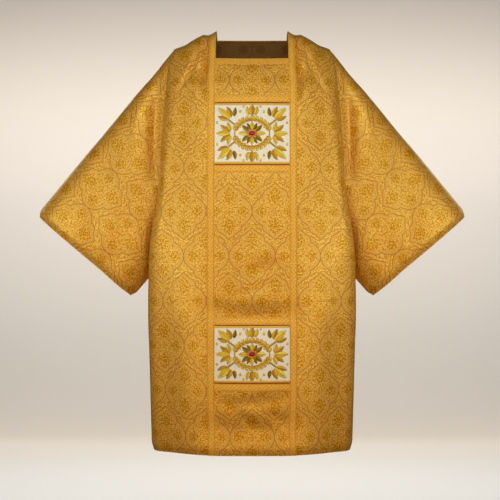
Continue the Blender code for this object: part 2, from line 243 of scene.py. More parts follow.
# Each fold, in millimetres: how far it rises, its half width and the points that it runs through.
FRONT_FOLDS = (
    # hollows beside the galloons under the collar bone
    (-17, 18, (141, 10), (139, 75), (146, 150)),
    (-16.5, 19, (-142, 10), (-140, 72), (-147, 142)),
    (-12, 20, (192, 72), (162, 112), (142, 146)),
    (-11.5, 21, (-194, 76), (-164, 111), (-143, 141)),
    (3, 14, (172, 50), (168, 110), (175, 190)),
    (3, 15, (-175, 52), (-170, 105), (-177, 180)),
    # the cloth stands up against the outer edge of each galloon
    (7, 14, (129, 12), (129, 75), (131, 150)),
    (7, 14, (-129, 12), (-129, 75), (-131, 150)),
    # a dip just under the neckline
    (-6, 14, (-120, 74), (0, 80), (120, 74)),
    # creases that run from the shoulder point into the armhole
    (-7, 13, (178, 40), (212, 95), (246, 150)),
    (-7, 13, (-180, 42), (-214, 98), (-248, 145)),
    (3.5, 10, (205, 50), (232, 100), (252, 130)),
    (3.5, 10, (-207, 50), (-233, 96), (-254, 126)),
    # a dip from each corner of the neckline
    (-3.2, 9, (98, 104), (68, 110), (40, 136)),
    (-3.2, 9, (-98, 104), (-70, 109), (-43, 132)),
    # wrinkles across the middle, above the lower orphrey
    (6, 40, (86, 576), (40, 600), (-30, 616)),
    (-5.8, 22, (94, 622), (50, 642), (0, 654), (-34, 660)),
    (-4.5, 13, (88, 668), (40, 690), (-20, 712), (-66, 726)),
    (-19, 31, (-145, 752), (-60, 770), (0, 778), (65, 774), (145, 760)),
    # the cloth sinks under the lower orphrey, with wrinkles that run down from it
    (-7, 18, (-110, 1000), (-40, 1010), (40, 1004), (110, 996)),
    (-19, 48, (-150, 1070), (-40, 1082), (40, 1076), (150, 1066)),
    (-3.6, 14, (-78, 1012), (-25, 1046), (28, 1092)),
    (2, 13, (-30, 1018), (28, 1048), (88, 1086)),
    (-2.2, 12, (20, 1030), (60, 1040), (96, 1060)),
    # the cloth hangs squarely from the chest, so the side panels are flat up to a rounded edge
    (12, 36, (282, 60), (288, 620), (292, 1600)),
    (12, 36, (-282, 60), (-288, 640), (-292, 1600)),
    (4, 55, (316, 640), (318, 1000), (316, 1400)),
    (4, 55, (-316, 640), (-318, 1000), (-316, 1400)),
    # the middle sinks back towards the hem
    (-15, 70, (-90, 1168), (0, 1164), (90, 1168)),
    # faint flutes down the side panels
    (-1.2, 22, (262, 660), (256, 880), (262, 1130)),
    (-1.2, 22, (-264, 640), (-257, 900), (-262, 1130)),
    (1.2, 24, (190, 600), (186, 860), (193, 1120)),
    (1.2, 24, (-193, 620), (-188, 850), (-190, 1120)),
    # the hem turns in a little
    (-7.5, 12, (-520, 1150), (0, 1150), (520, 1150)),
)
BACK_FOLDS = (
    (-5, 30, (150, 90), (140, 200), (148, 330)),
    (-5, 32, (-155, 85), (-143, 190), (-150, 300)),
    (-4.5, 12, (178, 42), (212, 95), (246, 148)),
    (-4.5, 12, (-180, 40), (-213, 97), (-247, 150)),
    (-4.5, 40, (-30, 420), (-45, 700), (-35, 1140)),
    (4, 42, (60, 450), (65, 760), (58, 1140)),
    (-4, 36, (190, 480), (180, 800), (188, 1140)),
    (3.8, 36, (-130, 520), (-138, 820), (-130, 1140)),
    (-4, 36, (-225, 560), (-215, 830), (-222, 1140)),
    (-2.6, 22, (95, 560), (20, 585), (-85, 600)),
    (1, 26, (80, 605), (0, 634), (-90, 650)),
)
# On a sleeve, u runs down the arm from the shoulder point and v from the top fold down the front, or,
# with a minus sign, down the back.
SLEEVE_FOLDS = (
    # the trough beside the armhole, between two low ridges
    (-20, 26, (85, 20), (138, 61), (209, 117), (333, 215)),
    (4, 14, (160, 8), (255, 72), (345, 148)),
    # a long soft trough from the top fold towards the cuff, and a ridge outside it
    (-8, 30, (285, 15), (385, 62), (465, 110), (585, 186)),
    # the top fold is pressed, so the cloth is flat right up to it
    (5, 26, (100, 36), (350, 34), (700, 34)),
    (5, 26, (100, -36), (350, -34), (700, -34)),
    # the cuff turns in a little
    (-7.5, 12, (612, -100), (614, 180), (617, 460)),
    (-7.5, 12, (612, 100), (614, -180), (617, -460)),
    (14, 42, (380, 215), (465, 275), (530, 302), (700, 304)),
    # the sleeve sinks towards the underarm and its lower corner
    (-6, 11, (410, 288), (465, 330), (530, 354), (600, 362)),
    (-9, 15, (400, 262), (440, 290), (495, 330), (540, 366)),
    (-7, 14, (110, -14), (150, -50), (225, -108), (320, -190)),
    (-5.5, 26, (250, -50), (340, -110), (450, -200)),
    (5, 30, (360, -30), (440, -90), (560, -180)),
)


# ======== surfaces


class Panel:
    """The front or the back, as a grid of points with normals and flat coordinates."""

    def __init__(self, name, side, folds):
        self.name = name
        self.side = side
        half = spaced(COLUMN_MARKS, STEP)
        half = np.concatenate([half[:-1], [PANEL_EDGE - 0.0022, PANEL_EDGE]])
        self.columns = np.concatenate([-half[:0:-1], half])
        depths = [0.0, 0.001, 0.004, 0.009, BACK_NECKLINE_DEPTH, 0.021, BACK_BAND_DEPTH]
        depths += [0.038, 0.050, 0.062]
        marks = [depth_of(FRONT_NECKLINE), depth_of(NECK_BAND_BOTTOM)]
        for orphrey in ORPHREYS:
            marks += [depth_of(height) for height in orphrey[1:]]
        marks += [depth_of(UNDERARM), HEM_STITCH_DEPTH, HEM_DEPTH]
        self.depths = np.concatenate([depths, spaced(sorted(marks), STEP)])
        rows = [body_row(half, depth, side) for depth in self.depths]
        right = [row[:0:-1] * (-1.0, 1.0, 1.0) for row, _ in rows]
        points = np.array([np.concatenate([mirrored, row]) for mirrored, (row, _) in zip(right, rows)])
        self.across = np.array([np.concatenate([-at[:0:-1], at]) for _, at in rows])
        self.down = self.measure_down(points)
        normals = self.lean_neither_way(normals_of(points) * side, points)
        u, v = np.meshgrid(self.columns, self.depths)
        self.points = points + normals * fold_height(folds, u, v)[..., None]
        self.normals = self.lean_neither_way(normals_of(self.points) * side, points)

    def measure_down(self, points):
        """Each point's distance down the cloth, which is its depth at the hem."""
        steps = np.linalg.norm(np.diff(points, axis=0), axis=2)
        above_hem = np.concatenate([np.cumsum(steps[::-1], axis=0)[::-1], np.zeros_like(steps[:1])])
        return HEM_DEPTH - above_hem

    def lean_neither_way(self, normals, points):
        """Where the front meets the back, at a seam, the normal has no part in Y."""
        normals = normals.copy()
        normals[0, :, 1] = 0.0
        below = points[:, 0, 2] < UNDERARM - SEAM_GAP
        normals[below, 0, 1] = 0.0
        normals[below, -1, 1] = 0.0
        return unit(normals)

    def row(self, depth):
        return int(np.argmin(np.abs(self.depths - depth)))

    def column(self, place):
        return int(np.argmin(np.abs(self.columns - place)))

    def find(self, column, depth):
        """Points and normals at any column coordinates and depths."""
        i = np.clip(np.searchsorted(self.depths, depth, side="right") - 1, 0, len(self.depths) - 2)
        j = np.clip(np.searchsorted(self.columns, column, side="right") - 1, 0, len(self.columns) - 2)
        s = ((depth - self.depths[i]) / (self.depths[i + 1] - self.depths[i]))[..., None]
        t = ((column - self.columns[j]) / (self.columns[j + 1] - self.columns[j]))[..., None]
        found = []
        for grid in (self.points, self.normals):
            top = grid[i, j] * (1 - t) + grid[i, j + 1] * t
            bottom = grid[i + 1, j] * (1 - t) + grid[i + 1, j + 1] * t
            found.append(top * (1 - s) + bottom * s)
        return found[0], unit(found[1])


SLEEVE_TOP = np.array([BODY[0].half_width, 0.0, SHOULDER[-1][1]])
ARM = unit(SLEEVE_HEM_TOP - SLEEVE_TOP)
DOWN_SLEEVE = np.array([ARM[2], 0.0, -ARM[0]])


def arc_shares(points):
    along = run_along(points)
    return along / along[-1]


def hem_opening(shares):
    """Half of the sleeve's hem opening, from its top fold down the front to its bottom fold."""
    angles = np.linspace(0.0, math.pi, 240)
    down = ((1.0 - np.cos(angles)) / 2.0)[:, None]
    outline = SLEEVE_HEM_TOP + (SLEEVE_HEM_BOTTOM - SLEEVE_HEM_TOP) * down
    outline[:, 1] -= SLEEVE_FULLNESS * np.sin(angles) * (1.0 + SLEEVE_TOP_BIAS * np.cos(angles))
    at = arc_shares(outline)
    return np.stack([np.interp(shares, at, outline[:, i]) for i in range(3)], axis=1)


class Sleeve:
    """The wearer's left sleeve as rings of points from the armhole to the hem."""

    def __init__(self, armhole, folds, shares):
        hem = hem_opening(arc_shares(armhole))
        rise = np.sin(np.pi * np.linspace(0.0, 1.0, len(armhole)))
        rings = []
        for share in shares:
            front = armhole + (hem - armhole) * share
            front[:, 1] -= SLEEVE_SWELL * rise * math.sin(math.pi * share)
            rings.append(np.concatenate([front, front[-2:0:-1] * (1.0, -1.0, 1.0)]))
        points = np.array(rings)
        self.along = (points - SLEEVE_TOP) @ ARM
        below = (points - SLEEVE_TOP) @ DOWN_SLEEVE
        front_side = np.where(np.arange(points.shape[1]) < len(armhole), 1.0, -1.0)
        normals = self.ring_normals(points)
        fade = eased(np.array(shares) / 0.12)[:, None]
        lift = fold_height(folds, self.along, below * front_side) * fade
        self.points = points + normals * lift[..., None]
        self.normals = self.ring_normals(self.points)
        steps = np.hypot(np.diff(below, axis=1), np.diff(points[..., 1], axis=1))
        self.around = np.concatenate([np.zeros((len(shares), 1)), np.cumsum(steps, axis=1)], axis=1)

    def ring_normals(self, points):
        wrapped = np.concatenate([points[:, -1:], points, points[:, :1]], axis=1)
        return normals_of(wrapped)[:, 1:-1]


# ======== meshes


def collection_link(thing):
    bpy.context.scene.collection.objects.link(thing)
    return thing


def mesh_object(name, points, faces, flat, materials, slots=None):
    """A mesh from points, faces and the flat cut coordinates of each point."""
    data = bpy.data.meshes.new(name)
    data.from_pydata([tuple(p) for p in points], [], [tuple(int(i) for i in face) for face in faces])
    layer = data.uv_layers.new(name="cut")
    index = np.empty(len(data.loops), np.int32)
    data.loops.foreach_get("vertex_index", index)
    layer.data.foreach_set("uv", np.asarray(flat, np.float32)[index].ravel())
    for material in materials:
        data.materials.append(material)
    if slots is not None:
        data.polygons.foreach_set("material_index", np.asarray(slots, np.int32))
    data.polygons.foreach_set("use_smooth", [True] * len(data.polygons))
    data.validate()
    data.set_sharp_from_angle(angle=math.radians(60.0))
    return collection_link(bpy.data.objects.new(name, data))


def ring_faces(first, rings, sides):
    """The numbers of a tube's points, ring by ring, and the faces between its rings."""
    index = first + np.arange(rings * sides).reshape(rings, sides)
    following = np.roll(index, -1, axis=1)
    quads = np.stack([index[:-1], following[:-1], following[1:], index[1:]], axis=2)
    return index, list(quads.reshape(-1, 4))


def facing_out(thing):
    mesh = bmesh.new()
    mesh.from_mesh(thing.data)
    bmesh.ops.recalc_face_normals(mesh, faces=mesh.faces)
    mesh.to_mesh(thing.data)
    mesh.free()
    return thing


def wall_object(name, outer, inner, flat, materials, ring=False, skipped=None):
    """A closed wall of cloth between two grids. Its inner face takes the second material."""
    rows, columns = outer.shape[:2]
    count = rows * columns
    index = np.arange(count).reshape(rows, columns)
    following = np.roll(index, -1, axis=1) if ring else index[:, 1:]
    own = index if ring else index[:, :-1]
    a, b, c, d = own[:-1], following[:-1], following[1:], own[1:]
    keep = np.ones(a.shape, bool) if skipped is None else ~skipped
    quads = np.stack([a[keep], b[keep], c[keep], d[keep]], axis=1)
    ends = np.concatenate([quads[:, [i, (i + 1) % 4]] for i in range(4)])
    keys = {tuple(end) for end in ends.tolist()}
    border = [(p, q) for p, q in ends.tolist() if (q, p) not in keys]
    rim = [(q, p, p + count, q + count) for p, q in border]
    faces = np.concatenate([quads, quads[:, ::-1] + count, np.array(rim)])
    slots = np.repeat([0, 1, 0], [len(quads), len(quads), len(rim)])
    points = np.concatenate([outer.reshape(-1, 3), inner.reshape(-1, 3)])
    flats = np.concatenate([flat.reshape(-1, 2)] * 2)
    used, faces = np.unique(faces, return_inverse=True)
    thing = mesh_object(name, points[used], faces.reshape(-1, 4), flats[used], materials, slots)
    return facing_out(thing)


def piece(thing, slot, *nodes):
    """Rides on the garment's one body and stands for its nodes. Its slot is not used."""
    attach(thing, BODY_NAME)
    if nodes:
        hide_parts(*nodes)
    return thing


# ======== shader nodes


def linear(red, green, blue):
    """A colour given as it looks on screen, 0 to 255, in the units of the shaders."""
    shares = (channel / 255.0 for channel in (red, green, blue))
    return tuple(s / 12.92 if s < 0.04045 else ((s + 0.055) / 1.055) ** 2.4 for s in shares)


def add_node(tree, kind, inputs, **settings):
    """The outputs of a new shader node. Each input, by name or number, is linked or set to a constant."""
    node = tree.nodes.new("ShaderNode" + kind)
    for name, value in settings.items():
        setattr(node, name, value)
    for key, value in inputs.items():
        socket = getattr(value, "socket", value)
        if isinstance(socket, bpy.types.NodeSocket):
            tree.links.new(socket, node.inputs[key])
        else:
            node.inputs[key].default_value = value
    return node.outputs


class Field:
    """A number at every point of a surface, worked out by shader nodes."""

    def __init__(self, tree, socket):
        self.tree = tree
        self.socket = socket

    def math(self, operation, *others):
        inputs = dict(enumerate((self, *others)))
        return Field(self.tree, add_node(self.tree, "Math", inputs, operation=operation)[0])

    __add__ = partialmethod(math, "ADD")
    __sub__ = partialmethod(math, "SUBTRACT")
    __mul__ = partialmethod(math, "MULTIPLY")
    __neg__ = partialmethod(math, "MULTIPLY", -1.0)
    abs = partialmethod(math, "ABSOLUTE")
    least = partialmethod(math, "MINIMUM")
    most = partialmethod(math, "MAXIMUM")
    # Distance to the nearest multiple of twice the number given.
    fold = partialmethod(math, "PINGPONG")

    def wave(self, length):
        """A sine wave of this length, from -1 to 1."""
        return (self * (TURN / length)).math("SINE")

    def rise(self, low, high):
        """0 where the number is below `low`, 1 above `high`, eased between."""
        inputs = {"Value": self, "From Min": low, "From Max": high}
        eased_step = add_node(self.tree, "MapRange", inputs, interpolation_type="SMOOTHSTEP")
        return Field(self.tree, eased_step["Result"])

    def line(self, half_width, soft):
        """1 where the number is within `half_width` of 0, fading over `soft`."""
        return -self.abs().rise(half_width, half_width + soft) + 1.0

    def between(self, first, second):
        """`first` where this number is 0, `second` where it is 1."""
        return first + (second - first) * self


def opaque(colour):
    return (*colour, 1.0) if isinstance(colour, tuple) else colour


class Shader:
    """A Principled material, with the fields that it is made of."""

    def __init__(self, name, roughness, metallic, ior=1.5, gloss=(1.0, 1.0, 1.0), sheen=0.0, coat=0.0):
        self.material = bpy.data.materials.new(name)
        self.material.use_nodes = True
        self.tree = self.material.node_tree
        self.inputs = self.tree.nodes["Principled BSDF"].inputs
        constants = {"Roughness": roughness, "Metallic": metallic, "IOR": ior}
        constants |= {"Specular Tint": opaque(gloss), "Sheen Tint": opaque(gloss)}
        constants |= {"Sheen Weight": sheen, "Sheen Roughness": 0.45}
        constants |= {"Coat Weight": coat, "Coat Roughness": 0.08}
        for key, value in constants.items():
            self.inputs[key].default_value = value
        self.uv = self.add("UVMap", {}, uv_map="cut")["UV"]

    def add(self, kind, inputs, **settings):
        return add_node(self.tree, kind, inputs, **settings)

    def cut(self):
        """The flat coordinates of the cloth, in metres."""
        return [Field(self.tree, socket) for socket in list(self.add("SeparateXYZ", {0: self.uv}))[:2]]

    def noise(self, scale, detail=2.0, squeeze=(1.0, 1.0), turn=0.0):
        """Noise over the flat cloth, from 0 to 1, with so many cells a metre."""
        inputs = {"Scale": (*squeeze, 1.0), "Rotation": (0.0, 0.0, turn), "Vector": self.uv}
        at = self.add("Mapping", inputs)["Vector"]
        noise = self.add("TexNoise", {"Scale": scale, "Detail": detail, "Vector": at})
        return Field(self.tree, noise["Fac"])

    def cells(self, scale):
        """A random number from 0 to 1 for each small cell of the cloth."""
        cells = self.add("TexVoronoi", {"Scale": scale, "Vector": self.uv})
        return Field(self.tree, self.add("SeparateColor", {0: cells["Color"]})[0])

    def mix(self, share, first, second):
        """A colour between two others, each a colour or the output of an earlier mix."""
        return self.add("Mix", {0: share, 6: opaque(first), 7: opaque(second)}, data_type="RGBA")[2]

    def set(self, name, value):
        self.tree.links.new(getattr(value, "socket", value), self.inputs[name])

    def bump(self, height, distance, strength):
        inputs = {"Strength": strength, "Distance": distance, "Height": height}
        self.set("Normal", self.add("Bump", inputs)["Normal"])

    def point(self, x, y):
        return self.add("CombineXYZ", {0: x, 1: y})[0]

    def disc(self, at, x, y, radius):
        """Signed distance from a disc."""
        away = self.add("VectorMath", {0: at, 1: (x, y, 0.0)}, operation="DISTANCE")
        return Field(self.tree, away["Value"]) - radius


# ---- damask

# The lattice of medallions repeats over this width and height, and every other row is set off by half of
# both. A medallion is described by its upper right quarter, from its middle.
REPEAT_WIDTH = 0.1250
REPEAT_HEIGHT = 0.2440
FIRST_MEDALLION = 0.3670
Disc = namedtuple("Disc", "x y radius")
TALL_LOBE = Disc(0.0144, 0.0407, 0.0203)
WIDE_LOBE = Disc(0.0190, -0.0027, 0.0439)
TIP_SLOPE = math.radians(49.2)
TIP_OUT = 0.0583
TIP_HALF_WIDTH = 0.0190
TALL_FLOWER = Disc(0.0, 0.0420, 0.0205)
TALL_FLOWER_SQUEEZE = 1.30
WIDE_FLOWER = Disc(0.0375, 0.0, 0.0140)
# The figure's seeds, in millimetres: x, y and radius.
SEEDS = (
    (0, 24.7, 2.8), (0, 34.1, 2), (3.3, 42.8, 2.2), (0, 62.1, 2.2), (6.2, 56.6, 2),
    (11.9, 50.7, 2), (17.1, 40.9, 2), (10, 37.9, 2), (7.6, 30.9, 2), (15.2, 27.4, 2),
    (30.6, 29.3, 2.2), (0, 7, 1.8), (0, 0, 1.6), (8.7, 0, 1.8), (17.3, 10.3, 1.5),
    (11.9, 17.1, 1.5), (25.7, 0, 2.6), (33.6, 7, 1.9), (37.7, 13.3, 1.7), (44.4, 8.1, 1.9),
    (50.4, 4.3, 1.7), (39, 2.4, 2.1),
)
# Dashes: the x and y of the middle, and half the length.
DASHES = ((0.0519, 0.0355, 0.0050), (0.0436, 0.0482, 0.0080), (0.0187, 0.0736, 0.0080))
DASH_SLOPE = math.radians(-34.3)
DASH_HALF_WIDTH = 0.0008


def turned(x, y, angle):
    """Coordinates along a direction and across it."""
    return x * math.cos(angle) + y * math.sin(angle), y * math.cos(angle) - x * math.sin(angle)


def medallion_edge(shader, x, y):
    """Distance from the outline of the medallion about 0, 0, less than 0 inside."""
    at = shader.point(x, y)
    tip = x * math.cos(TIP_SLOPE) + y * math.sin(TIP_SLOPE) - TIP_OUT
    tip = tip.most(x - TIP_HALF_WIDTH)
    return shader.disc(at, *TALL_LOBE).least(shader.disc(at, *WIDE_LOBE)).least(tip)


class Damask:
    """The fields of the damask's figure: every point is read in its own medallion's coordinates."""

    def __init__(self, shader):
        u, v = shader.cut()
        wobble = (shader.noise(300.0, 1.0) - 0.5) * 0.0020
        x = (u + wobble).fold(REPEAT_WIDTH / 2.0)
        y = (v - FIRST_MEDALLION + wobble).fold(REPEAT_HEIGHT / 2.0)
        far_x = -x + REPEAT_WIDTH / 2.0
        far_y = -y + REPEAT_HEIGHT / 2.0
        near = medallion_edge(shader, x, y)
        far = medallion_edge(shader, far_x, far_y)
        is_far = near.math("GREATER_THAN", far)
        self.edge = near.least(far)
        x = is_far.between(x, far_x)
        y = is_far.between(y, far_y)
        at = shader.point(x, y)
        tall = shader.disc(shader.point(x * TALL_FLOWER_SQUEEZE, y), *TALL_FLOWER)
        self.flowers = tall.least(shader.disc(at, *WIDE_FLOWER))
        discs = (shader.disc(at, *(size * MM for size in seed)) for seed in SEEDS)
        self.seeds = reduce(Field.least, discs)
        along, across = turned(x, y, DASH_SLOPE)
        dashes = []
        for middle_x, middle_y, half_length in DASHES:
            middle_along, middle_across = turned(middle_x, middle_y, DASH_SLOPE)
            past_end = (along - middle_along).abs() - half_length
            past_side = (across - middle_across).abs() - DASH_HALF_WIDTH
            dashes.append(past_end.most(past_side))
        self.dashes = reduce(Field.least, dashes)


GROUND = linear(240, 187, 98)
GROUND_DEEP = linear(218, 152, 38)
GOLD = linear(248, 205, 98)
GOLD_DEEP = linear(212, 133, 3)
FLOWER = linear(248, 199, 66)
FLOWER_DEEP = linear(194, 110, 0)
BROWN = linear(166, 76, 0)
SILK_GLOSS = (1.0, 0.93, 0.22)
SILK_IOR = 1.95


def damask():
    """A matt tan ground, with a figure of metal thread that glitters where it faces the light."""
    shader = Shader("gold_damask", 0.42, 0.2, SILK_IOR, SILK_GLOSS)
    figure = Damask(shader)
    grain = shader.noise(235.0, 1.0)
    fine = shader.noise(420.0, 1.0)
    twill = shader.noise(520.0, 1.0, squeeze=(1.0, 0.35), turn=0.7)
    cloud = shader.noise(22.0, 3.0)
    lattice = figure.edge.rise(0.0004, 0.0016)
    heart = (-figure.edge).rise(0.0040, 0.0130)
    flower = (-figure.flowers).rise(-0.0006, 0.0040)
    outline = figure.edge.line(0.0007, 0.0008)
    dash = (-figure.dashes).rise(-0.0007, 0.0004)
    seed = (-figure.seeds).rise(-0.0008, 0.0005)
    speckle = (grain - 0.5) * 1.3 + (fine - 0.5) * 0.9
    glitter = speckle.rise(-0.16, 0.16)
    gold_share = lattice.most(heart)
    # The glitter speckle is a random grain of the weave and also paints the metal threads' glints into all
    # three colours.
    ground = shader.mix(glitter * 0.8 + twill * 0.2, GROUND_DEEP, GROUND)
    gold = shader.mix(glitter, GOLD_DEEP, GOLD)
    petals = shader.mix(glitter, FLOWER_DEEP, FLOWER)
    colour = shader.mix(flower, shader.mix(gold_share, ground, gold), petals)
    lines = (outline * 0.86).most(dash * 0.92).most(seed * 0.70)
    worn = grain.rise(0.34, 0.58) * 0.45 + 0.55
    colour = shader.mix(lines * worn, colour, BROWN)
    shader.set("Base Color", colour)
    shader.set("Metallic", gold_share.most(flower) * 0.12)
    shader.set("Roughness", -glitter * 0.06 + (cloud * 0.08 + 0.42))
    relief = flower * 0.4 + lattice * 0.3 - outline * 0.5 - seed * 0.4
    shader.bump(relief + (twill - 0.5) * 0.4 + speckle * 0.35, 0.0006, 0.45)
    return shader.material


def reverse():
    """The back of the damask: the figure shows only as a faint change of tone."""
    shader = Shader("damask_reverse", 0.72, 0.1)
    figure = Damask(shader)
    twill = shader.noise(760.0, 1.0, squeeze=(1.0, 0.30), turn=-0.7)
    cloth = shader.mix(twill.rise(0.3, 0.7), linear(132, 86, 30), linear(172, 120, 54))
    shown = (-figure.flowers).rise(-0.0004, 0.0020).most(figure.edge.line(0.0008, 0.0010))
    shader.set("Base Color", shader.mix(shown * 0.5, cloth, linear(118, 70, 20)))
    shader.bump(twill + shown * 0.4, 0.0005, 0.6)
    return shader.material


# ---- braid, lame, thread and glass


def braid():
    """Galloon: a diamond weave in the middle, between two twisted cords."""
    shader = Shader("gold_braid", 0.52, 0.0, 1.7, SILK_GLOSS)
    across, along = shader.cut()
    out = across.abs()
    diamonds = (along + across * 1.3).wave(0.0115) * 0.65 + (along - across * 1.3).wave(0.0115) * 0.35
    twist = (along - out * 1.4).wave(0.0042)
    on_cord = out.rise(0.0078, 0.0082)
    relief = on_cord.between(diamonds, twist)
    groove = (out - 0.0078).line(0.0003, 0.0006)
    grain = shader.noise(250.0, 1.0)
    cloud = shader.noise(30.0, 2.0)
    # Painted light and shade: the colour is lighter on the raised crests of the diamonds and cord twists and
    # darker in their troughs; grain and cloud add random tone.
    tone = relief * 0.30 + 0.48 + (grain - 0.5) * 1.4 + (cloud - 0.5) * 0.30
    colour = shader.mix(tone.rise(-0.1, 1.1), linear(226, 142, 34), linear(255, 212, 96))
    # Painted shade: the colour darkens in the groove beside each cord.
    colour = shader.mix(groove * 0.30, colour, linear(180, 108, 12))
    shader.set("Base Color", colour)
    shader.bump(relief * 0.4 - groove + (grain - 0.5) * 0.3, 0.0006, 0.5)
    return shader.material


def lame():
    """The ground of the orphreys: cream silk shot with silver, in fine ribs across."""
    shader = Shader("cream_lame", 0.42, 0.08, 1.6, sheen=0.10)
    _, along = shader.cut()
    ribs = along.wave(0.0014)
    grain = shader.noise(300.0, 1.0)
    cloud = shader.noise(60.0, 3.0)
    cloth = shader.mix(grain.rise(0.36, 0.62), linear(246, 238, 192), linear(255, 255, 248))
    cloth = shader.mix(cloud.rise(0.45, 0.8) * 0.35, cloth, linear(236, 226, 180))
    shader.set("Base Color", cloth)
    shader.bump(ribs * 0.5 + (grain - 0.5) * 0.6, 0.0003, 0.6)
    return shader.material


# The lit and the shaded side of each thread, as they look on screen, how metallic it is, and its IOR.
THREADS = {
    "lemon": ((255, 240, 104), (240, 196, 44), 0.12, 1.5),
    "ochre": ((244, 202, 70), (196, 134, 26), 0.12, 1.5),
    "olive": ((184, 152, 34), (134, 100, 10), 0.12, 1.5),
    "outline": ((122, 88, 20), (100, 70, 10), 0.0, 1.5),
    "cord": ((250, 208, 84), (206, 146, 30), 0.12, 1.5),
    "setting": ((250, 184, 88), (216, 134, 44), 0.12, 1.5),
    "piping": ((186, 84, 0), (150, 56, 0), 0.0, 1.2),
    "border": ((250, 214, 110), (234, 186, 76), 0.1, 1.5),
    "stitch": ((198, 138, 48), (150, 96, 26), 0.1, 1.5),
}


def satin_thread(name, light, dark, metallic, ior):
    """Satin stitch: threads across the stroke, with one side of it in the shaded colour, as painted shade."""
    shader = Shader(name, 0.40, metallic, ior, SILK_GLOSS)
    along, across = shader.cut()
    threads = along.wave(0.0011)
    teeth = along.wave(0.0040) * 0.0012
    # Painted shade: one side of every stroke takes the thread's darker, shaded colour.
    shade = (across + teeth).rise(-0.0030, 0.0026)
    grain = shader.cells(900.0)
    colour = shader.mix(shade * (grain * 0.3 + 0.7), linear(*dark), linear(*light))
    shader.set("Base Color", colour)
    shader.bump(threads * 0.5 + (grain - 0.5) * 0.4, 0.0004, 0.7)
    return shader.material


def glass(name, colour):
    shader = Shader(name, 0.22, 0.0, coat=0.15)
    cloud = shader.noise(160.0, 2.0)
    shader.set("Base Color", shader.mix(cloud.rise(0.4, 0.8), colour, tuple(c * 2.2 for c in colour)))
    return shader.material


# ======== building the cloth


def seamed(panel):
    """A panel's points drawn back from the shoulder and side seams by half the gap between pieces."""
    points = panel.points.copy()
    half_gap = panel.side * SEAM_GAP / 2.0
    points[0, :, 1] += half_gap
    below = points[:, 0, 2] < UNDERARM + SEAM_GAP
    points[below, 0, 1] += half_gap
    points[below, -1, 1] += half_gap
    return points


def make_panel(panel, neckline_depth, sleeve_edge, materials):
    outer = seamed(panel)
    normals = panel.normals.copy()
    count = len(sleeve_edge)
    side = np.array([1.0, panel.side * -1.0, 1.0])
    for column, hand in ((0, -1.0), (-1, 1.0)):
        partner = sleeve_edge * side * (hand, 1.0, 1.0)
        normals[:count, column] = unit(normals[:count, column] + partner)
    inner = outer - normals * CLOTH
    skipped = np.zeros((outer.shape[0] - 1, outer.shape[1] - 1), bool)
    inside = slice(panel.column(-CLAVUS_INNER), panel.column(CLAVUS_INNER))
    skipped[: panel.row(neckline_depth), inside] = True
    flat = np.stack([panel.across, panel.down], axis=2)
    cloth = wall_object(panel.name + "_cloth", outer, inner, flat, materials, skipped=skipped)
    piece(cloth, "damask", panel.name)


def make_sleeves(front, materials):
    rows = front.row(depth_of(UNDERARM)) + 1
    armhole = front.points[:rows, -1]
    shares = [0.0, 0.004, 0.012, *np.linspace(0.024, 0.985, 74), 0.995, 1.0]
    sleeve = Sleeve(armhole, SLEEVE_FOLDS, shares)
    normals = sleeve.normals.copy()
    shared = unit(normals[0, :rows] + front.normals[:rows, -1])
    normals[0, :rows] = shared
    normals[0, rows:] = shared[-2:0:-1] * (1.0, -1.0, 1.0)
    seam = np.roll(sleeve.points[0], -1, axis=0) - np.roll(sleeve.points[0], 1, axis=0)
    outer = sleeve.points.copy()
    outer[0] += unit(np.cross(normals[0], seam)) * SEAM_GAP
    inner = outer - normals * CLOTH
    flat = np.stack([sleeve.along, sleeve.around + SLEEVE_PATTERN_START], axis=2)
    for name, hand in (("sleeve_left", 1.0), ("sleeve_right", -1.0)):
        mirror = np.array([hand, 1.0, 1.0])
        cloth = wall_object(name + "_cloth", outer * mirror, inner * mirror, flat, materials, ring=True)
        piece(cloth, "damask", name)
    return sleeve.normals[0, :rows]


# How far the damask's pattern is moved round each sleeve, in metres.
SLEEVE_PATTERN_START = 0.12

# ======== galloons

# Half of the galloon's section: the share of its half width, and its thickness there.
HALF_BRAID = (
    (0.0, 0.0012), (0.35, 0.0011), (0.68, 0.0009), (0.76, 0.0007),
    (0.82, 0.0013), (0.9, 0.0014), (0.97, 0.0010), (1.0, 0.0004),
)
BRAID = np.array(HALF_BRAID)
BRAID_SHARES, BRAID_HEIGHTS = np.concatenate([BRAID[:0:-1] * (-1.0, 1.0), BRAID]).T
BRAID_UNDERSIDE = 0.0001


def make_braid(node, points, normals, material, *panels):
    """Braid on a grid of points of the cloth: rows run along it, and columns are at BRAID_SHARES."""
    over = points + normals * BRAID_HEIGHTS[None, :, None]
    under = points + normals * BRAID_UNDERSIDE
    steps = np.linalg.norm(np.diff(points, axis=0), axis=2).mean(axis=1)
    along = np.concatenate([[0.0], np.cumsum(steps)])
    width = np.linalg.norm(np.diff(points, axis=1), axis=2).sum(axis=1).mean()
    across = BRAID_SHARES * width / 2.0
    flat = np.stack(np.broadcast_arrays(across[None, :], along[:, None]), axis=2)
    ribbon = wall_object(node + "_braid", over, under, flat, [material])
    piece(ribbon, "galloon", node)


def make_clavi(front, back, material):
    """The two long galloons, each from the front hem over the shoulder to the back hem."""
    middle = (CLAVUS_INNER + CLAVUS_OUTER) / 2.0
    half_width = (CLAVUS_OUTER - CLAVUS_INNER) / 2.0
    columns = middle + BRAID_SHARES * half_width * 0.98
    for name, hand in (("clavus_left", 1.0), ("clavus_right", -1.0)):
        up_front = front.find(*np.meshgrid(hand * columns, front.depths[::-1]))
        down_back = back.find(*np.meshgrid(hand * columns, back.depths[1:]))
        points, normals = (np.concatenate(pair) for pair in zip(up_front, down_back))
        make_braid(name, points, normals, material, front, back)


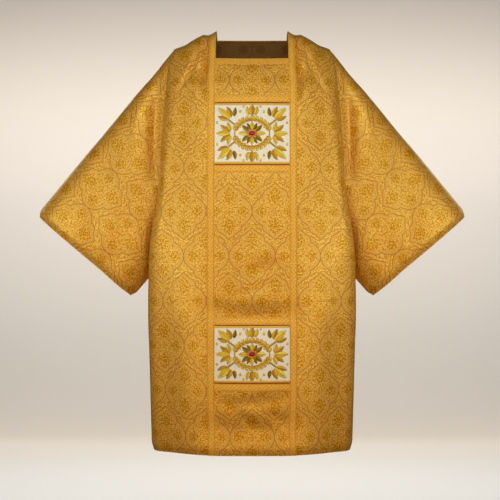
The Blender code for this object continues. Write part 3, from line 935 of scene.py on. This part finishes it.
def make_cross_galloon(node, panel, top, bottom, material):
    """A galloon between the clavi, from one depth down to another."""
    half_width = (bottom - top) / 2.0
    reach = CLAVUS_INNER - SEAM_GAP
    columns = np.linspace(-reach, reach, 61)
    depths = (top + bottom) / 2.0 + BRAID_SHARES * half_width
    points, normals = panel.find(*np.meshgrid(columns, depths))
    make_braid(node, points.transpose(1, 0, 2), normals.transpose(1, 0, 2), material, panel)


def make_galloons(front, back, material):
    make_clavi(front, back, material)
    neck = (depth_of(FRONT_NECKLINE), depth_of(NECK_BAND_BOTTOM))
    make_cross_galloon("neck_band_front", front, *neck, material)
    make_cross_galloon("neck_band_back", back, BACK_NECKLINE_DEPTH, BACK_BAND_DEPTH, material)
    for orphrey in ORPHREYS:
        above = (depth_of(orphrey.braid_top), depth_of(orphrey.top))
        below = (depth_of(orphrey.bottom), depth_of(orphrey.braid_bottom))
        make_cross_galloon(f"galloon_{orphrey.name}_top", front, *above, material)
        make_cross_galloon(f"galloon_{orphrey.name}_bottom", front, *below, material)


# ======== needlework

SECTION_SIDES = 8
STITCH_SIDES = 5
# A stroke's flat coordinate across it is -1 to 1 of its half width, in these units.
SHARE_UNIT = 0.004


class Needlework:
    """Strokes of thread on a panel, collected into one mesh. They are drawn flat, x to the right and y up
    from a middle, and then laid on the folded cloth."""

    def __init__(self, panel, middle_depth=0.0, base=0.0):
        self.panel = panel
        self.middle_depth = middle_depth
        self.base = base
        self.places = []
        self.faces = []
        self.flats = []
        self.count = 0

    def stroke(self, spine, half_widths, rise, sides=SECTION_SIDES):
        """A raised stroke along a spine: round on top, flat below, closed at both ends."""
        spine = np.asarray(spine, float)
        half_widths = np.broadcast_to(np.asarray(half_widths, float), (len(spine),))
        along = unit(np.gradient(spine, axis=0))
        sideways = np.stack([-along[:, 1], along[:, 0]], axis=1)
        angles = np.linspace(0.0, TURN, sides, endpoint=False) + math.pi / sides
        out = np.cos(angles)
        up = np.maximum(np.sin(angles), -0.15)
        fullness = np.clip(half_widths / max(half_widths.max(), 1e-9), 0.25, 1.0)
        flat = spine[:, None] + sideways[:, None] * (half_widths[:, None] * out)[..., None]
        heights = rise * fullness[:, None] * up[None, :]
        run = run_along(spine)
        rings = len(spine)
        index, faces = ring_faces(self.count, rings, sides)
        self.faces += [*faces, index[0, ::-1], index[-1]]
        self.places.append(np.concatenate([flat, heights[..., None]], axis=2).reshape(-1, 3))
        share = np.broadcast_arrays(run[:, None], (out * SHARE_UNIT)[None, :])
        self.flats.append(np.stack(share, axis=2).reshape(-1, 2))
        self.count += rings * sides

    def finish(self, name, material, slot):
        places = np.concatenate(self.places)
        points, normals = self.panel.find(places[:, 0], self.middle_depth - places[:, 1])
        points = points + normals * (self.base + places[:, 2])[:, None]
        thing = mesh_object(name, points, self.faces, np.concatenate(self.flats), [material])
        return piece(facing_out(thing), slot)


def leaf_spine(x, y, angle, length, bend, steps=11):
    """A line from x, y towards an angle in degrees, which turns by `bend` degrees along its length."""
    turns = np.radians(angle + bend * np.linspace(0.0, 1.0, steps))
    step = length / (steps - 1)
    ahead = np.stack([np.cos(turns), np.sin(turns)], axis=1) * step
    return np.concatenate([[[x, y]], np.array([x, y]) + np.cumsum(ahead[:-1], axis=0)])


def leaf_widths(half_width, steps=11, fullest=0.42):
    t = np.linspace(0.0, 1.0, steps)
    power = math.log(0.5) / math.log(fullest)
    return half_width * np.maximum(np.sin(math.pi * t**power), 0.0) ** 0.85 + 0.1


def oval(angles, half_width, half_height):
    return np.stack([half_width * np.cos(angles), half_height * np.sin(angles)], axis=-1)


def spiral(x, y, angle, radius, turns, steps=40):
    """A curl that winds in to x, y from `radius` away."""
    t = np.linspace(0.0, 1.0, steps)
    angles = math.radians(angle) + TURN * turns * t
    return (x, y) + oval(angles, 1.0, 1.0) * (radius * (1.0 - 0.82 * t))[:, None]


Leaf = namedtuple("Leaf", "thread x y angle length half_width bend")
# One quarter of an orphrey's embroidery, in millimetres from the stone. Leaves on an axis have y or x 0.
ROSETTE = (
    Leaf("lemon", 11.5, 0.0, 0, 25.0, 6.2, 0),
    Leaf("olive", 9.5, 6.5, 37, 23.0, 5.4, 6),
    Leaf("lemon", 0.0, 9.5, 90, 22.0, 5.4, 0),
    Leaf("olive", 4.5, 9.5, 62, 20.0, 4.0, 4),
)
PALMETTE = (
    Leaf("lemon", 60.0, 0.0, 0, 38.0, 7.4, 0),
    Leaf("ochre", 59.0, 4.0, 26, 33.0, 6.2, 20),
    Leaf("lemon", 57.0, 7.5, 56, 25.0, 5.2, 30),
)
CORNER = (
    Leaf("lemon", 60.0, 40.0, 40, 43.0, 8.0, 4),
    Leaf("ochre", 57.0, 43.0, 80, 31.0, 6.4, -30),
    Leaf("ochre", 64.0, 38.0, 2, 31.0, 6.4, 30),
    Leaf("olive", 50.0, 46.0, 112, 24.0, 5.0, -26),
)
LOZENGE = (
    Leaf("ochre", 0.0, 48.0, 90, 31.0, 7.6, 0),
    Leaf("lemon", 7.0, 49.0, 60, 25.0, 5.2, 30),
)
Berry = namedtuple("Berry", "x y radius")
BERRIES = (
    Berry(26.0, 23.5, 3.2),
    Berry(33.0, 17.0, 2.6),
    Berry(19.0, 28.5, 2.6),
    Berry(95.0, 29.0, 3.0),
    Berry(32.0, 58.0, 3.2),
    Berry(23.0, 72.0, 2.8),
)
QUARTERS = ((1.0, 1.0), (1.0, -1.0), (-1.0, 1.0), (-1.0, -1.0))
WREATH = (47.0, 39.5)
WREATH_LEAVES = 6
WREATH_LEAF = (13.0, 3.3)
CURL = (80.0, 60.0, 170.0, 9.0, 1.15)
STEM = (44.0, 20.0, 40.0, 26.0, -4.0)
CORD_HALF_WIDTH = 1.8
OUTLINE_RISE = 0.9
VEIN = (0.6, 2.4)
LEAF_RISE, CORD_RISE, CURL_RISE = 2.1, 2.2, 1.5
DESIGN_HALF_HEIGHT = 0.0840  # of the panel for which the design was drawn
EMBROIDERY_THREADS = ("lemon", "ochre", "olive", "outline", "cord")


def embroider(orphrey, front, threads):
    """The raised embroidery of one orphrey. Each stroke lies on a flat, dark one that outlines it."""
    middle = (depth_of(orphrey.top) + depth_of(orphrey.bottom)) / 2.0
    stretch = (orphrey.top - orphrey.bottom) / 2.0 / DESIGN_HALF_HEIGHT
    works = {name: Needlework(front, middle, LAME_TOP) for name in EMBROIDERY_THREADS}

    def stroke(thread, spine, widths, rise):
        works[thread].stroke(spine * (MM, MM * stretch), widths * MM, rise * MM)

    def add(thread, spine, widths, rise=LEAF_RISE, edge=0.7):
        stroke(thread, spine, widths, rise)
        stroke("outline", spine, widths + edge, OUTLINE_RISE)

    def mirrored(item):
        """Signs of x and y for each mirrored copy that isn't the same as another."""
        return [(x, y) for x, y in QUARTERS if (item.x or x > 0.0) and (item.y or y > 0.0)]

    for leaf in (*ROSETTE, *PALMETTE, *CORNER, *LOZENGE):
        spine = leaf_spine(leaf.x, leaf.y, leaf.angle, leaf.length, leaf.bend)
        for signs in mirrored(leaf):
            add(leaf.thread, spine * signs, leaf_widths(leaf.half_width))
            stroke("outline", spine[1:-2] * signs, *VEIN)
    for berry in BERRIES:
        spine = leaf_spine(berry.x - berry.radius, berry.y, 0, 2.0 * berry.radius, 0, 9)
        t = np.linspace(-1.0, 1.0, 9)
        for signs in mirrored(berry):
            add("lemon", spine * signs, berry.radius * np.sqrt(1.0 - t**2) + 0.1)
    for signs in QUARTERS:
        for i in range(WREATH_LEAVES):
            at = math.radians(4.0 + 84.0 * (i + 0.5) / WREATH_LEAVES)
            x, y = oval(at, *WREATH)
            back, up = oval(at, WREATH[1], WREATH[0])
            heading = math.degrees(math.atan2(back, -up))
            for lean, thread in ((-38.0, "lemon"), (38.0, "ochre")):
                spine = leaf_spine(x, y, heading + lean, WREATH_LEAF[0], lean * -0.3)
                add(thread, spine * signs, leaf_widths(WREATH_LEAF[1]), 1.9, 0.8)
        curl = spiral(*CURL)
        add("lemon", curl * signs, np.linspace(2.2, 1.0, len(curl)), CURL_RISE, 0.6)
        stem = leaf_spine(*STEM)
        add("ochre", stem * signs, np.full(len(stem), CORD_HALF_WIDTH), 1.6, 0.8)
    stroke("cord", oval(np.linspace(0.0, TURN, 97), *WREATH), CORD_HALF_WIDTH, CORD_RISE)
    name = f"embroidery_{orphrey.name}_"
    made = [work.finish(name + thread, threads[thread], "orphrey") for thread, work in works.items()]
    return made, middle


LAME_THICKNESS = 0.0015
LAME_TOP = 0.0016
# What is sewn along an orphrey's edges: its slot, distance from the edge, half width and rise.
EDGINGS = {"piping": ("orphrey", 0.0014, 0.0014, 0.0018), "border": ("galloon", 0.0058, 0.0030, 0.0009)}


def make_orphrey(orphrey, front, materials, threads):
    """A panel of lame between two galloons, with a dark piping and a yellow border above and below."""
    reach = CLAVUS_INNER - SEAM_GAP
    top, bottom = depth_of(orphrey.top) + SEAM_GAP, depth_of(orphrey.bottom) - SEAM_GAP
    columns = np.linspace(-reach, reach, 69)
    depths = np.linspace(top, bottom, 57)
    u, v = np.meshgrid(columns, depths)
    points, normals = front.find(u, v)
    over = points + normals * LAME_THICKNESS
    under = points + normals * BRAID_UNDERSIDE
    node = f"orphrey_{orphrey.name}"
    ground = wall_object(node + "_lame", over, under, np.stack([u, v], axis=2), [materials["lame"]])
    piece(ground, "orphrey", node)
    sewn, middle = embroider(orphrey, front, threads)
    spine = np.linspace((-reach, 0.0), (reach, 0.0), 80)
    for end, name, inward in ((top, "top", 1.0), (bottom, "bottom", -1.0)):
        for thread, (slot, inset, half_width, rise) in EDGINGS.items():
            work = Needlework(front, end + inward * inset, LAME_TOP)
            work.stroke(spine, half_width, rise)
            sewn.append(work.finish(f"{thread}_{orphrey.name}_{name}", threads[thread], slot))
    sewn += make_stone(orphrey, front, middle, materials, threads)


STONE_HALF_SIZE = (0.0090, 0.0060)
STONE_RISE = 0.0045
SETTING_HALF_SIZE = (0.0113, 0.0084)
SETTING_HALF_WIDTH = 0.0023
SETTING_RISE = 0.0030
STONE_STEPS = 40
STONE_RINGS = 10


def make_stone(orphrey, front, middle, materials, threads):
    """A red cabochon in a padded oval ring."""
    place, normal = (found[0] for found in front.find(np.array([0.0]), np.array([middle])))
    right = np.array([1.0, 0.0, 0.0])
    up = unit(np.cross(normal, right))
    up *= np.sign(up[2])
    plane = np.stack([right, up])
    outline = oval(np.linspace(0.0, TURN, STONE_STEPS, endpoint=False), *STONE_HALF_SIZE)
    base = place + normal * LAME_TOP
    rows = []
    for tilt in np.linspace(0.0, math.pi / 2.0, STONE_RINGS, endpoint=False):
        rows.append(base + outline * math.cos(tilt) @ plane + normal * STONE_RISE * math.sin(tilt))
    points = np.concatenate([*rows, [base + normal * STONE_RISE]])
    index, faces = ring_faces(0, STONE_RINGS, STONE_STEPS)
    tip = len(points) - 1
    faces += [(a, b, tip) for a, b in zip(index[-1], np.roll(index[-1], -1))]
    faces += [index[0, ::-1]]
    flat = (points - base) @ plane.T
    cabochon = mesh_object(f"cabochon_{orphrey.name}", points, faces, flat, [materials["glass"]])
    piece(cabochon, "stone", f"stone_{orphrey.name}")
    ring = Needlework(front, middle, LAME_TOP)
    ring.stroke(oval(np.linspace(0.0, TURN, 73), *SETTING_HALF_SIZE), SETTING_HALF_WIDTH, SETTING_RISE)
    return [cabochon, ring.finish(f"setting_{orphrey.name}", threads["setting"], "orphrey")]


# ======== stitches

STITCH = 0.0032
STITCH_GAP = 0.0012
STITCH_HALF_WIDTH = 0.00028
STITCH_RISE = 0.0005
BRAID_STITCH_PITCH = 0.0060
BRAID_STITCH_INSET = 0.0031  # from the braid's edge


def stitch_line(work, start, end, pitch=STITCH + STITCH_GAP):
    """A row of running stitches between two places on the panel, given as column and depth."""
    start, end = np.array(start, float), np.array(end, float)
    length = np.linalg.norm(end - start)
    ahead = (end - start) / length
    for i in range(int(length / pitch)):
        first = start + ahead * (i * pitch + STITCH_GAP / 2.0)
        spine = [first + ahead * STITCH * share for share in (0.0, 0.5, 1.0)]
        widths = np.array([0.6, 1.0, 0.6]) * STITCH_HALF_WIDTH
        work.stroke(np.array(spine) * (1.0, -1.0), widths, STITCH_RISE, STITCH_SIDES)


def make_stitches(front, back, threads):
    for panel in (front, back):
        hem = Needlework(panel, 0.0, 0.0001)
        outside = (CLAVUS_OUTER + 0.001, PANEL_EDGE - 0.004)
        inside = (-CLAVUS_INNER + 0.001, CLAVUS_INNER - 0.001)
        for hand, ends in ((1.0, outside), (-1.0, outside), (1.0, inside)):
            stitch_line(hem, *((hand * end, HEM_STITCH_DEPTH) for end in ends))
        hem.finish("hem_stitches_" + panel.name, threads["stitch"], "damask")
        sewn = Needlework(panel, 0.0, 0.0009)
        for hand in (1.0, -1.0):
            for column in (CLAVUS_INNER + BRAID_STITCH_INSET, CLAVUS_OUTER - BRAID_STITCH_INSET):
                ends = ((hand * column, depth) for depth in (HEM_DEPTH - 0.002, 0.030))
                stitch_line(sewn, *ends, BRAID_STITCH_PITCH)
        sewn.finish("braid_stitches_" + panel.name, threads["stitch"], "galloon")


# ======== the whole garment


def make_dalmatic():
    cloth = [damask(), reverse()]
    gold = braid()
    materials = {"lame": lame(), "glass": glass("red_glass", linear(150, 14, 8))}
    threads = {name: satin_thread("thread_" + name, *look) for name, look in THREADS.items()}
    front = Panel("front", -1, FRONT_FOLDS)
    back = Panel("back", 1, BACK_FOLDS)
    sleeve_edge = make_sleeves(front, cloth)
    make_panel(front, depth_of(FRONT_NECKLINE), sleeve_edge, cloth)
    make_panel(back, BACK_NECKLINE_DEPTH, sleeve_edge, cloth)
    make_galloons(front, back, gold)
    for orphrey in ORPHREYS:
        make_orphrey(orphrey, front, materials, threads)
    make_stitches(front, back, threads)


# ======== stage, light and camera

CAMERA_AWAY = 3.2
CAMERA_X = -0.0057
CAMERA_HEIGHT = -0.6355
CAMERA_LENS = 81.2
CAMERA_SHIFT_UP = 0.03
FLOOR = -1.47


def make_camera():
    data = bpy.data.cameras.new("camera")
    data.lens = CAMERA_LENS
    data.sensor_width = 36.0
    data.shift_y = CAMERA_SHIFT_UP
    camera = collection_link(bpy.data.objects.new("camera", data))
    camera.location = (CAMERA_X, -CAMERA_AWAY, CAMERA_HEIGHT)
    camera.rotation_euler = (math.pi / 2.0, 0.0, 0.0)
    bpy.context.scene.camera = camera


WHITE = (1.0, 0.985, 0.96)
WARM = (1.0, 0.80, 0.60)
AMBER = (1.0, 0.46, 0.04)
COOL = (0.80, 0.92, 1.0)
WALL_WARM = (1.0, 0.83, 0.64)
WALL_PALE = (1.0, 0.96, 0.93)
PAPER_WHITE = (1.0, 0.97, 0.94)


def make_light(name, location, target, size, power, colour=WHITE):
    data = bpy.data.lights.new(name, "AREA")
    data.shape = "RECTANGLE"
    data.size, data.size_y = size
    data.energy = power
    data.color = colour
    light = collection_link(bpy.data.objects.new(name, data))
    light.location = location
    light.rotation_euler = (Vector(target) - Vector(location)).to_track_quat("-Z", "Y").to_euler()
    light.visible_camera = False


def make_stage():
    """A plain pale floor that sweeps up into the backdrop."""
    radius = 1.2
    wall = 3.4
    profile = [(-4.5, FLOOR)]
    for i in range(17):
        angle = math.radians(i * 90.0 / 16)
        profile.append((wall - radius * (1.0 - math.sin(angle)), FLOOR + radius * (1.0 - math.cos(angle))))
    profile.append((wall, FLOOR + 5.0))
    points = [(x, y, z) for y, z in profile for x in (-5.0, 5.0)]
    faces = [(2 * i, 2 * i + 1, 2 * i + 3, 2 * i + 2) for i in range(len(profile) - 1)]
    paper = Shader("backdrop_paper", 0.9, 0.0)
    paper.inputs["Base Color"].default_value = opaque(linear(236, 236, 235))
    flat = [(0.0, 0.0)] * len(points)
    backdrop = mesh_object("backdrop", points, faces, flat, [paper.material])
    # Its light stays on itself, as behind black flags, so that the garment's edges keep their depth.
    backdrop.visible_diffuse = False
    backdrop.visible_glossy = False


# Lights on both sides: place, how far out of the middle each aims, size and power.
SIDE_LIGHTS = {
    "side": ((1.30, -1.00, -0.35), 0.0, (0.6, 0.4), 2.9),
    "middle": ((0.60, -1.30, -0.55), 0.15, (0.6, 0.3), 1.0),
    "skirt": ((1.00, -1.20, -0.60), 0.0, (0.6, 0.3), 1.9),
}
# Lights over the floor, facing straight down: y, height, size, power and colour. No two are in one plane,
# as lights that overlap there lose light. The last is low, to light the floor alone for the other views.
FLOOR_LIGHTS = {
    "floor_far": (2.0, -0.30, (5.0, 0.6), 3.0, WARM),
    "floor_end": (2.15, FLOOR + 0.45, (5.0, 0.3), 5.2, WALL_WARM),
    "floor_back": (1.35, 0.1, (5.0, 1.2), 21.0, WALL_WARM),
    "floor_middle": (1.00, 0.0, (5.0, 1.0), 20.5, COOL),
    "floor_front": (-2.25, FLOOR + 0.27, (10.0, 4.3), 100.0, PAPER_WHITE),
}


def make_lights():
    make_light("key", (0.0, -1.3, 0.16), (0.0, 0.0, -0.05), (1.0, 0.3), 6.5)
    make_light("low", (0.0, -1.6, -1.00), (0.0, 0.0, -1.00), (3.0, 0.4), 6.6, AMBER)
    for hand in (-1.0, 1.0):
        for name, ((x, y, z), aim, *look) in SIDE_LIGHTS.items():
            make_light(f"{name}_{hand:+.0f}", (hand * x, y, z), (hand * aim, 0.0, z), *look)
    make_light("back", (0.0, 1.7, 0.10), (0.0, 0.0, -0.50), (2.0, 0.8), 11.0)
    make_light("wall_top", (0.0, 2.4, 0.30), (0.0, 3.4, 0.30), (5.0, 0.4), 17.0, WALL_WARM)
    make_light("wall_middle", (0.0, 2.3, 0.00), (0.0, 3.4, 0.00), (5.0, 0.4), 20.0, WALL_PALE)
    for name, (y, height, *look) in FLOOR_LIGHTS.items():
        make_light(name, (0.0, y, height), (0.0, y, FLOOR), *look)


def make_world():
    """A faint warm light. Past the backdrop's edges the studio looks pale, but that lights nothing."""
    world = bpy.data.worlds.new("studio")
    world.use_nodes = True
    tree = world.node_tree
    lighting = tree.nodes["Background"]
    lighting.inputs["Color"].default_value = opaque(WARM)
    lighting.inputs["Strength"].default_value = 0.02
    seen = add_node(tree, "Background", {"Color": opaque(linear(222, 214, 204))})[0]
    is_seen = add_node(tree, "LightPath", {})["Is Camera Ray"]
    chosen = add_node(tree, "MixShader", {0: is_seen, 1: lighting.outputs[0], 2: seen})[0]
    tree.links.new(chosen, tree.nodes["World Output"].inputs["Surface"])
    bpy.context.scene.world = world
    bpy.context.scene.view_settings.view_transform = "Standard"


make_dalmatic()
make_camera()
make_stage()
make_lights()
make_world()
